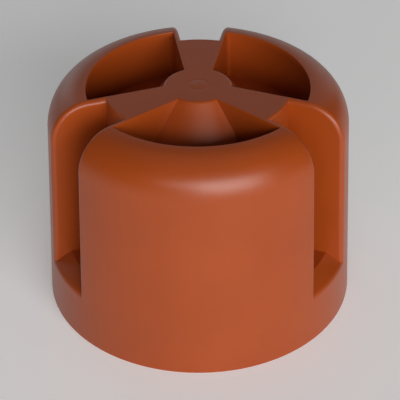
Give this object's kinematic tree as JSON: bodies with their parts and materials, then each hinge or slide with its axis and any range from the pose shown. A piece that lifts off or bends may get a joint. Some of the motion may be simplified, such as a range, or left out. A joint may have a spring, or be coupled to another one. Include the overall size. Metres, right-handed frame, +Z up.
{
  "type": "roof vent cap",
  "caption": "Moulded plastic cap for a roof vent pipe: a tapering round hood with tall side slots and open chambers between arms that meet at a flat hub.",
  "frame": {"origin": "centre of the bottom rim, in the plane that the cap stands on", "axes": "+Z up along the cap's axis; +Y towards the slot at the back, so the widest face of the skin between two slots is at -Y"},
  "size_m": [0.236, 0.236, 0.1755],
  "materials": {
    "vent_cap": "satin moulded polypropylene, brick red"
  },
  "bodies": {
    "root": {"vent_cap": "vent_cap"}
  },
  "joints": []
}
